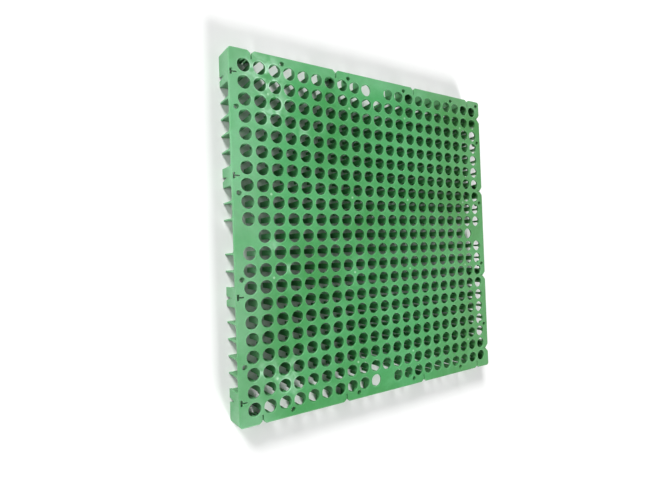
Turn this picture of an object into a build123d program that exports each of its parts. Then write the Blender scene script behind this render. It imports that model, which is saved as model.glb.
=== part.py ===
from build123d import *
import os

os.makedirs("parts", exist_ok=True)

# ---------------------------------------------------------------- dimensions
# All lengths in millimetres. The panel lies flat: its perforated sheet is on
# top, its legs stand on z = 0, and the outline is centred on the Z axis.
pitch = 13.7          # spacing of the drain holes, both ways
rows = 10             # holes run from -rows to +rows each way
side = 300.0          # outline of the square panel
thick = 20.0          # height of the panel, leg tips to top face
sheet_t = 1.6         # thickness of the perforated sheet
hole_r = 5.6          # drain holes
corner_r = 3.0        # plan radius of the four corners
rim_r = 1.1           # round on the upper outer edge

leg_w = 4.6           # leg width across the gap between two holes
leg_tip_w = 4.3       # same, at the tip
leg_t = 2.3           # leg thickness, in the land between two holes
flare = 1.9           # fillet where a leg meets the sheet

fin_w = 1.8           # edge leg, seen from outside
fin_tip_w = 1.1       # same, at the tip
fin_flare = 2.8       # fillet where an edge leg meets the sheet
fin_in = 142.8        # inner end of the edge legs

skirt_t = 1.8         # wall of the closed edge blocks
lock_pos = [-9.5 * pitch, -3.5 * pitch, 3.5 * pitch, 9.5 * pitch]
vee_half = 3.1        # half width of a lock notch at the +Y and -Y edges
vee_depth = 2.5       # depth of such a notch
vee_round = 1.2       # round on its two shoulders
slot_w = 1.4          # slot behind the notch
slot_end = 142.5      # where that slot stops
deep_half = 4.2       # the same notch at the +X edge, wider and deeper
deep_depth = 4.0
deep_round = 3.0
dot_r = 0.95          # round hole behind the notch there
dot_at = 143.3
link_w = 0.6          # thin slot from the notch to that hole
tee_len = 5.0         # cross bar of the tee slots on the -X side
tee_out = 148.9       # outer and inner faces of that cross bar
tee_in = 147.0
stem_w = 1.2          # stem of the tee
stem_end = 143.2
wedge_half = 1.9      # wedge cut up into the -X edge blocks from below
wedge_top = 10.2

pin_r = 2.2           # small round holes in the border
sleeve_r = 3.2        # short sleeve under each of them
sleeve_len = 5.0      # from the top face to the end of the sleeve
pin_at = 10.53 * pitch

half = side / 2
under = thick - sheet_t

# ------------------------------------------------------------------- layouts
# One drain hole at every crossing of the square grid, except in the middle of
# each side, where the border is left whole.
blank = [(rows, 0), (-rows, 0), (0, rows), (0, -rows)]
cells = [(i, j) for i in range(-rows, rows + 1) for j in range(-rows, rows + 1)
         if (i, j) not in blank]
holes = [(i * pitch, j * pitch) for i, j in cells]
legs_x = [((i + 0.5) * pitch, j * pitch, 0) for i, j in cells if (i + 1, j) in cells]
legs_y = [(i * pitch, (j + 0.5) * pitch, 0) for i, j in cells if (i, j + 1) in cells]
edge_steps = [k * pitch for k in range(-rows, rows + 1) if k != 0]
pins = []
for k in (-7.5, -2.5, 2.5, 7.5):
    pins += [(k * pitch, pin_at), (k * pitch, -pin_at),
             (pin_at, k * pitch), (-pin_at, k * pitch)]
pins.append((pin_at + 0.4, pin_at + 0.4))


def vee(s, w, d, out=1.0):
    """Corners of a notch in the +Y edge, w wide each way there and d deep."""
    k = (d + out) / d
    return [(s - w * k, half + out), (s + w * k, half + out), (s, half - d)]


def turned(points, quarter):
    """The same corners, turned to another side of the square."""
    c, n = [(1, 0), (0, 1), (-1, 0), (0, -1)][quarter]
    return [(c * x - n * y, n * x + c * y) for x, y in points]


# Sides with open notches: +Y (0), -Y (2) and +X (3). The -X side has tees.
# Each row is side, half width, depth, shoulder round.
notches = ((0, vee_half, vee_depth, vee_round),
           (2, vee_half, vee_depth, vee_round),
           (3, deep_half, deep_depth, deep_round))

# ---------------------------------------------------------------- parts used
# Leg between two holes: a flat strip that widens in a small curve where it
# meets the sheet. It stands in the plane across the line of the two holes.
with BuildPart() as leg:
    with BuildSketch(Plane.YZ):
        with BuildLine():
            a = leg_tip_w / 2
            b = leg_w / 2
            z1 = under - flare
            Line((-a, 0), (a, 0))
            Line((a, 0), (b, z1))
            ThreePointArc((b, z1), (b + flare * 0.293, under - flare * 0.293),
                          (b + flare, under))
            Line((b + flare, under), (b + flare, under + 0.4))
            Line((b + flare, under + 0.4), (-b - flare, under + 0.4))
            Line((-b - flare, under + 0.4), (-b - flare, under))
            ThreePointArc((-b - flare, under), (-b - flare * 0.293, under - flare * 0.293),
                          (-b, z1))
            Line((-b, z1), (-a, 0))
        make_face()
    extrude(amount=leg_t / 2, both=True)

# Edge leg: a thin fin from the outermost hole to the edge, same curve on top.
with BuildPart() as fin:
    with BuildSketch(Plane.YZ.offset(fin_in)):
        with BuildLine():
            a = fin_tip_w / 2
            b = fin_w / 2
            z1 = under - fin_flare
            Line((-a, 0), (a, 0))
            Line((a, 0), (b, z1))
            ThreePointArc((b, z1), (b + fin_flare * 0.293, under - fin_flare * 0.293),
                          (b + fin_flare, under))
            Line((b + fin_flare, under), (b + fin_flare, under + 0.3))
            Line((b + fin_flare, under + 0.3), (-b - fin_flare, under + 0.3))
            Line((-b - fin_flare, under + 0.3), (-b - fin_flare, under))
            ThreePointArc((-b - fin_flare, under),
                          (-b - fin_flare * 0.293, under - fin_flare * 0.293), (-b, z1))
            Line((-b, z1), (-a, 0))
        make_face()
    extrude(amount=half - fin_in)

# ------------------------------------------------------------- the one panel
with BuildPart() as drainage_cell_panel:
    # sheet outline with its lock notches
    with BuildSketch(Plane.XY.offset(under)) as outline:
        Rectangle(side, side)
        fillet(outline.vertices(), corner_r)
        for q, w, d, r in notches:
            for s in lock_pos:
                with BuildLine():
                    Polyline(*turned(vee(s, w, d), q), close=True)
                make_face(mode=Mode.SUBTRACT)
        mouths = [v for v in outline.vertices()
                  if abs(v.Y) > half - 0.01
                  and min(abs(abs(v.X) - abs(s)) for s in lock_pos) < vee_half + 0.5]
        fillet(mouths, vee_round)
        mouths = [v for v in outline.vertices()
                  if v.X > half - 0.01
                  and min(abs(abs(v.Y) - abs(s)) for s in lock_pos) < deep_half + 0.5]
        fillet(mouths, deep_round)
    extrude(amount=sheet_t)
    rim = drainage_cell_panel.faces().sort_by(Axis.Z)[-1].edges()
    fillet(rim, rim_r)

    # drain holes, pin holes, lock slots
    with BuildSketch(Plane.XY.offset(under)):
        with Locations(*holes):
            Circle(hole_r)
        with Locations(*pins):
            Circle(pin_r)
        for q in (0, 2):
            for s in lock_pos:
                with BuildLine():
                    Polyline(*turned([(s - slot_w / 2, slot_end), (s + slot_w / 2, slot_end),
                                      (s + slot_w / 2, half - vee_depth + 1.0),
                                      (s - slot_w / 2, half - vee_depth + 1.0)], q), close=True)
                make_face()
        for s in lock_pos:
            with Locations((dot_at, s)):
                Circle(dot_r)
            with Locations(((dot_at + half - deep_depth + 0.6) / 2, s)):
                Rectangle(half - deep_depth + 0.6 - dot_at, link_w)
            with Locations((-(tee_out + tee_in) / 2, s)):
                Rectangle(tee_out - tee_in, tee_len)
            with Locations((-(tee_in + 0.1 + stem_end) / 2, s)):
                Rectangle(tee_in + 0.1 - stem_end, stem_w)
    extrude(amount=sheet_t, mode=Mode.SUBTRACT)

    # closed edge blocks: a wall that follows the outline and the notches
    with BuildSketch(Plane.XY) as skirts:
        Rectangle(side, side)
        fillet(skirts.vertices(), corner_r)
        with BuildSketch(mode=Mode.SUBTRACT) as inner:
            Rectangle(side - 2 * skirt_t, side - 2 * skirt_t)
            fillet(inner.vertices(), corner_r - skirt_t)
        for c, w in ((0, 6 * pitch - fin_w), (6.5 * pitch, 5 * pitch - fin_w),
                     (-6.5 * pitch, 5 * pitch - fin_w)):
            with Locations((c, half), (c, -half)):
                Rectangle(w, 12, mode=Mode.SUBTRACT)
            with Locations((half, c), (-half, c)):
                Rectangle(12, w, mode=Mode.SUBTRACT)
        for q, w, d, r in notches:
            for s in lock_pos:
                with BuildLine():
                    Polyline(*turned([(s - w - 2.6, half - skirt_t + 0.1),
                                      (s + w + 2.6, half - skirt_t + 0.1),
                                      (s + w + 2.0, half - skirt_t), (s + 1.3, half - d - 1.6),
                                      (s - 1.3, half - d - 1.6), (s - w - 2.0, half - skirt_t)], q),
                             close=True)
                make_face()
        for q, w, d, r in notches:
            for s in lock_pos:
                with BuildLine():
                    Polyline(*turned(vee(s, w + 1.3, d + 0.2), q), close=True)
                make_face(mode=Mode.SUBTRACT)
        for q in (0, 2):
            for s in lock_pos:
                with BuildLine():
                    Polyline(*turned([(s - slot_w / 2, slot_end), (s + slot_w / 2, slot_end),
                                      (s + slot_w / 2, half), (s - slot_w / 2, half)], q), close=True)
                make_face(mode=Mode.SUBTRACT)
        for s in lock_pos:
            with Locations((-(tee_out + tee_in) / 2, s)):
                Rectangle(tee_out - tee_in, tee_len, mode=Mode.SUBTRACT)
    extrude(amount=under + 0.3)

    # sleeves under the small round holes
    with BuildSketch(Plane.XY.offset(thick - sleeve_len)):
        with Locations(*pins):
            Circle(sleeve_r)
            Circle(pin_r, mode=Mode.SUBTRACT)
    extrude(amount=sleeve_len - sheet_t + 0.3)

    # wedge cuts, open at the bottom, in the -X edge blocks
    with BuildSketch(Plane.YZ.offset(-half - 1)):
        for s in lock_pos:
            with BuildLine():
                Polyline((s - 1.2 - wedge_half, -0.5), (s - 1.2 + wedge_half, -0.5),
                         (s - 0.6, wedge_top), close=True)
            make_face()
    extrude(amount=4, mode=Mode.SUBTRACT)

    # edge legs on all four sides
    with Locations(*[Location((0, s, 0)) for s in edge_steps],
                   *[Location((0, -s, 0), (0, 0, 180)) for s in edge_steps],
                   *[Location((s, 0, 0), (0, 0, 90)) for s in edge_steps],
                   *[Location((s, 0, 0), (0, 0, -90)) for s in edge_steps]):
        add(fin.part)

    # legs in the lands between neighbouring holes, both ways
    with Locations(*[Location(c) for c in legs_x],
                   *[Location(c, (0, 0, 90)) for c in legs_y]):
        add(leg.part)

drainage_cell_panel.part.label = "drainage_cell_panel"
export_step(drainage_cell_panel.part, "parts/drainage_cell_panel.step")
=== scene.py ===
import math

import bpy
from mathutils import Matrix, Vector

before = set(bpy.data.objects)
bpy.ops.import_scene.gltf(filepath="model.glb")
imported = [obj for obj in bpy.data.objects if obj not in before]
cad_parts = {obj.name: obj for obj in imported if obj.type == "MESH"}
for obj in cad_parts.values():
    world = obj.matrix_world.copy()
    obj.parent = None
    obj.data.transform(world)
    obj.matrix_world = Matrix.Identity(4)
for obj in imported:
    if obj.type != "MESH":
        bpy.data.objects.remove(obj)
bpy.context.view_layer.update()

PITCH = 0.0137      # spacing of the drain holes
THICK = 0.020       # height of the panel
HALF = 0.150        # half the side

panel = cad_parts["drainage_cell_panel"]


# ------------------------------------------------------------- node helpers
class Graph:
    """Small helper that builds a shader graph of math nodes."""

    def __init__(self, tree):
        self.t = tree
        self.n = tree.nodes
        self.l = tree.links

    def node(self, kind, **props):
        node = self.n.new(kind)
        for k, v in props.items():
            setattr(node, k, v)
        return node

    def put(self, sock, value):
        if hasattr(value, "is_output") or isinstance(value, bpy.types.NodeSocket):
            self.l.new(value, sock)
        else:
            sock.default_value = value

    def math(self, op, a, b=0.0, c=None, clamp=False):
        m = self.node("ShaderNodeMath", operation=op, use_clamp=clamp)
        self.put(m.inputs[0], a)
        self.put(m.inputs[1], b)
        if c is not None:
            self.put(m.inputs[2], c)
        return m.outputs[0]

    def smooth(self, value, lo, hi, out_lo=0.0, out_hi=1.0):
        m = self.node("ShaderNodeMapRange", interpolation_type="SMOOTHSTEP")
        self.put(m.inputs["Value"], value)
        m.inputs["From Min"].default_value = lo
        m.inputs["From Max"].default_value = hi
        m.inputs["To Min"].default_value = out_lo
        m.inputs["To Max"].default_value = out_hi
        return m.outputs[0]

    def noise(self, vec, scale, detail=4.0, rough=0.55, dist=0.0):
        m = self.node("ShaderNodeTexNoise")
        self.put(m.inputs["Vector"], vec)
        m.inputs["Scale"].default_value = scale
        m.inputs["Detail"].default_value = detail
        m.inputs["Roughness"].default_value = rough
        m.inputs["Distortion"].default_value = dist
        return m.outputs["Fac"]

    def mix(self, fac, a, b, blend="MIX"):
        m = self.node("ShaderNodeMix", data_type="RGBA", blend_type=blend)
        m.clamp_factor = True
        self.put(m.inputs[0], fac)
        self.put(m.inputs[6], a)
        self.put(m.inputs[7], b)
        return m.outputs[2]


def srgb(r, g, b):
    out = []
    for c in (r, g, b):
        c = c / 255.0
        out.append(c / 12.92 if c <= 0.04045 else ((c + 0.055) / 1.055) ** 2.4)
    return (*out, 1.0)


# -------------------------------------------------- moulded green plastic
def green_plastic():
    mat = bpy.data.materials.new("green_plastic_moulded")
    mat.use_nodes = True
    t = mat.node_tree
    t.nodes.clear()
    g = Graph(t)
    out = g.node("ShaderNodeOutputMaterial")
    bsdf = g.node("ShaderNodeBsdfPrincipled")
    t.links.new(bsdf.outputs[0], out.inputs[0])

    tc = g.node("ShaderNodeTexCoord")
    obj = tc.outputs["Object"]
    sep = g.node("ShaderNodeSeparateXYZ")
    g.l.new(obj, sep.inputs[0])
    x, y, z = sep.outputs
    ax = g.math("ABSOLUTE", x)
    ay = g.math("ABSOLUTE", y)

    # broad, weak colour drift of the melt, then smaller patches and fine grain
    drift = g.noise(obj, 9.0, 3.0, 0.5, 0.4)
    patch = g.noise(obj, 46.0, 4.0, 0.6, 0.6)
    fine = g.noise(obj, 420.0, 3.0, 0.6)
    grain = g.noise(obj, 2600.0, 2.0, 0.6)

    base = g.mix(g.smooth(drift, 0.36, 0.64), srgb(59, 135, 72), srgb(72, 150, 91))
    base = g.mix(g.smooth(patch, 0.42, 0.68, 0.0, 0.28), base, srgb(90, 165, 110))
    base = g.mix(g.smooth(fine, 0.30, 0.75, 0.0, 0.22), base, srgb(46, 122, 60))
    # painted shade towards +X: the green turns a little duller and warmer on that side
    base = g.mix(g.smooth(x, 0.02, 0.145, 0.0, 0.27), base, srgb(98, 120, 74))

    # distance from the middle of the nearest drain hole
    rim_xy = g.node("ShaderNodeCombineXYZ")
    for axis, sock in ((x, 0), (y, 1)):
        w = g.node("ShaderNodeMath", operation="WRAP")
        g.put(w.inputs[0], axis)
        w.inputs[1].default_value = PITCH / 2
        w.inputs[2].default_value = -PITCH / 2
        g.l.new(w.outputs[0], rim_xy.inputs[sock])
    away = g.node("ShaderNodeVectorMath", operation="LENGTH")
    g.l.new(rim_xy.outputs[0], away.inputs[0])
    rim = g.smooth(away.outputs["Value"], 0.0069, 0.0057)
    far = g.math("MAXIMUM", ax, ay)
    near = g.math("MINIMUM", ax, ay)
    grid = g.smooth(far, 10.52 * PITCH, 10.46 * PITCH)
    closed = g.math("MULTIPLY", g.smooth(far, 9.50 * PITCH, 9.54 * PITCH),
                    g.smooth(near, 0.52 * PITCH, 0.48 * PITCH))
    grid = g.math("SUBTRACT", grid, closed, clamp=True)
    rim = g.math("MULTIPLY", rim, grid)

    # painted sheen with some stress haze: pale patches on the upper face, in the lands near two corners,
    # and strongest in crescents beside the holes
    top = g.smooth(z, THICK - 0.0012, THICK - 0.0004)
    haze_and_sheen = None
    for cx, cy, rad, amt in ((-8.7, 9.6, 2.1, 1.0), (-8.4, 7.9, 1.9, 0.95),
                             (-7.9, -8.2, 1.7, 0.75), (-9.5, -8.0, 0.9, 0.7),
                             (-7.5, -9.3, 0.8, 0.6), (-8.4, -0.6, 0.55, 0.55),
                             (-7.5, -2.0, 0.45, 0.55), (-6.2, 6.6, 0.9, 0.35)):
        d = g.node("ShaderNodeVectorMath", operation="DISTANCE")
        g.l.new(obj, d.inputs[0])
        d.inputs[1].default_value = (cx * PITCH, cy * PITCH, THICK)
        one = g.smooth(d.outputs["Value"], rad * PITCH, 0.1 * rad * PITCH, 0.0, amt)
        haze_and_sheen = one if haze_and_sheen is None else g.math("MAXIMUM", haze_and_sheen, one)
    cloud = g.smooth(g.noise(obj, 120.0, 3.0, 0.5, 0.6), 0.34, 0.70)
    cloud = g.math("MULTIPLY", cloud, g.math("MULTIPLY_ADD", rim, 0.60, 0.55))
    haze_and_sheen = g.math("MULTIPLY", haze_and_sheen, g.math("MULTIPLY", cloud, top), clamp=True)
    # mix the painted sheen and haze into the colour
    base = g.mix(haze_and_sheen, base, srgb(176, 216, 188))

    # thin pale band on the borders of two sides, walls included: mostly painted sheen, partly a real pale
    # bloom of the plastic
    bloom_and_sheen = g.math("MAXIMUM", g.smooth(x, -0.100, -0.147, 0.0, 0.19),
                   g.smooth(y, 0.128, 0.147, 0.0, 0.13))
    bloom_and_sheen = g.math("MULTIPLY", bloom_and_sheen, g.smooth(g.noise(obj, 30.0, 3.0, 0.55, 0.3), 0.25, 0.65, 0.55, 1.15))
    base = g.mix(bloom_and_sheen, base, srgb(180, 216, 194))

    # painted highlight: faint pale ring on the upper face around each hole rim
    rim_highlight = g.math("MULTIPLY", g.math("MULTIPLY", rim, top), g.smooth(patch, 0.35, 0.65, 0.03, 0.16))
    base = g.mix(rim_highlight, base, srgb(132, 196, 148))

    # ejector marks: small pale discs in the lands, in a symmetric pattern
    dots = None
    flat = g.node("ShaderNodeCombineXYZ")
    g.l.new(ax, flat.inputs[0])
    g.l.new(ay, flat.inputs[1])
    for cx, cy in ((8.5, 2.5), (2.5, 8.5), (8.5, 8.5), (2.5, 2.5)):
        d = g.node("ShaderNodeVectorMath", operation="DISTANCE")
        g.l.new(flat.outputs[0], d.inputs[0])
        d.inputs[1].default_value = (cx * PITCH, cy * PITCH, 0.0)
        one = g.smooth(d.outputs["Value"], 0.0012, 0.0009)
        dots = one if dots is None else g.math("MAXIMUM", dots, one)
    dots = g.math("MULTIPLY", dots, top)
    base = g.mix(g.math("MULTIPLY", dots, 0.42), base, srgb(190, 226, 192))

    # paler edges, mostly painted edge highlight with some wear, found from how far a rounded normal leaves
    # the flat one
    bevel = g.node("ShaderNodeBevel", samples=6)
    bevel.inputs["Radius"].default_value = 0.00045
    geo = g.node("ShaderNodeNewGeometry")
    dot = g.node("ShaderNodeVectorMath", operation="DOT_PRODUCT")
    g.l.new(bevel.outputs[0], dot.inputs[0])
    g.l.new(geo.outputs["Normal"], dot.inputs[1])
    edge = g.smooth(dot.outputs["Value"], 0.995, 0.86)
    wear_and_highlight = g.math("MULTIPLY", edge, g.smooth(patch, 0.30, 0.62, 0.25, 1.0))
    base = g.mix(g.math("MULTIPLY", wear_and_highlight, 0.30), base, srgb(160, 208, 168))

    # painted shade: deeper, darker green low on the legs and inside the panel, where the sheet shades them
    inside = g.smooth(far, HALF - 0.0012, HALF - 0.0024)
    leg_shade = g.math("MULTIPLY", g.smooth(z, THICK - 0.0016, 0.009, 0.0, 0.42),
                 g.math("MULTIPLY_ADD", inside, 0.65, 0.35))
    base = g.mix(leg_shade, base, srgb(34, 100, 46))
    g.put(bsdf.inputs["Base Color"], base)

    rough = g.math("ADD", g.smooth(patch, 0.3, 0.7, 0.40, 0.50), g.smooth(fine, 0.3, 0.7, -0.03, 0.05))
    rough = g.math("ADD", rough, g.math("MULTIPLY", haze_and_sheen, 0.25))
    rough = g.math("ADD", rough, g.math("MULTIPLY", wear_and_highlight, 0.06), clamp=True)
    g.put(bsdf.inputs["Roughness"], rough)

    # slight sink and ripple, fine moulding grain, sunk ejector marks
    h = g.math("ADD", g.math("MULTIPLY", patch, 0.00030), g.math("MULTIPLY", fine, 0.00005))
    h = g.math("ADD", h, g.math("MULTIPLY", grain, 0.000012))
    h = g.math("SUBTRACT", h, g.math("MULTIPLY", dots, 0.00008))
    bump = g.node("ShaderNodeBump")
    bump.inputs["Strength"].default_value = 0.5
    bump.inputs["Distance"].default_value = 1.0
    g.put(bump.inputs["Height"], h)
    g.l.new(bevel.outputs[0], bump.inputs["Normal"])
    g.l.new(bump.outputs[0], bsdf.inputs["Normal"])

    bsdf.inputs["IOR"].default_value = 1.49
    bsdf.inputs["Specular IOR Level"].default_value = 0.40
    bsdf.inputs["Subsurface Weight"].default_value = 0.18
    bsdf.inputs["Subsurface Radius"].default_value = (0.3, 1.0, 0.45)
    bsdf.inputs["Subsurface Scale"].default_value = 0.0022
    return mat


mat = green_plastic()
for slot in panel.material_slots:
    slot.material = mat


# ------------------------------------------------------------------- floor
def floor_material():
    m = bpy.data.materials.new("floor_pale")
    m.use_nodes = True
    b = m.node_tree.nodes["Principled BSDF"]
    b.inputs["Base Color"].default_value = (0.83, 0.83, 0.83, 1.0)
    b.inputs["Roughness"].default_value = 0.75
    b.inputs["Specular IOR Level"].default_value = 0.2
    return m


bpy.ops.mesh.primitive_plane_add(size=40.0, location=(0, 0, 0))
floor = bpy.context.object
floor.name = "floor"
floor.data.materials.append(floor_material())

# ------------------------------------------------------------------ camera
right = Vector((0.8337, -0.0355, 0.5510))
down = Vector((-0.0228, -0.9993, -0.0300))
ahead = Vector((0.5517, 0.0125, -0.8340))
at = Vector((-20.42, -0.97, 24.34)) * PITCH + Vector((0, 0, THICK))
cam_data = bpy.data.cameras.new("photo_camera")
cam_data.sensor_fit = "HORIZONTAL"
cam_data.sensor_width = 36.0
cam_data.lens = 450.3 / 663.0 * 36.0
cam_data.clip_start = 0.01
cam_data.clip_end = 50.0
cam = bpy.data.objects.new("photo_camera", cam_data)
bpy.context.scene.collection.objects.link(cam)
m = Matrix.Identity(4)
for row in range(3):
    m[row][0] = right[row]
    m[row][1] = -down[row]
    m[row][2] = -ahead[row]
    m[row][3] = at[row]
cam.matrix_world = m
bpy.context.scene.camera = cam


# ------------------------------------------------------------------ lights
def area(name, loc, target, size, power, color=(1, 1, 1)):
    d = bpy.data.lights.new(name, "AREA")
    d.shape = "SQUARE"
    d.size = size
    d.energy = power
    d.color = color
    o = bpy.data.objects.new(name, d)
    o.location = loc
    aim = Vector(target) - Vector(loc)
    o.rotation_euler = aim.to_track_quat("-Z", "Y").to_euler()
    bpy.context.scene.collection.objects.link(o)
    return o


def sun(name, toward, angle, strength):
    d = bpy.data.lights.new(name, "SUN")
    d.angle = math.radians(angle)
    d.energy = strength
    o = bpy.data.objects.new(name, d)
    o.location = Vector(toward)
    o.rotation_euler = (-Vector(toward)).to_track_quat("-Z", "Y").to_euler()
    bpy.context.scene.collection.objects.link(o)
    return o


sun("key_sun", (-0.43, 0.75, 0.46), 20.0, 3.9)
sun("fill_sun", (0.32, -0.78, 0.44), 22.0, 3.5)
area("left_softbox", (-0.52, 0.10, 0.42), (-0.15, 0.0, 0), 0.26, 0.8)
area("top_softbox", (0.34, 0.04, 1.05), (-0.08, 0, 0), 0.16, 0.7)
area("back_softbox", (1.5, -0.1, 0.62), (0, 0, 0), 0.9, 3.2)

world = bpy.data.worlds.new("studio")
bpy.context.scene.world = world
world.use_nodes = True
sky = Graph(world.node_tree)
look = sky.node("ShaderNodeTexCoord")
sky_xyz = sky.node("ShaderNodeSeparateXYZ")
sky.l.new(look.outputs["Generated"], sky_xyz.inputs[0])
# a pale band at the horizon, so that the floor runs into a pale wall
level = sky.smooth(sky_xyz.outputs[2], 0.12, 0.38, 0.97, 0.07)
sky.put(world.node_tree.nodes["Background"].inputs["Strength"], level)
world.node_tree.nodes["Background"].inputs["Color"].default_value = (1.0, 1.0, 1.0, 1.0)
bpy.context.scene.view_settings.view_transform = "Standard"
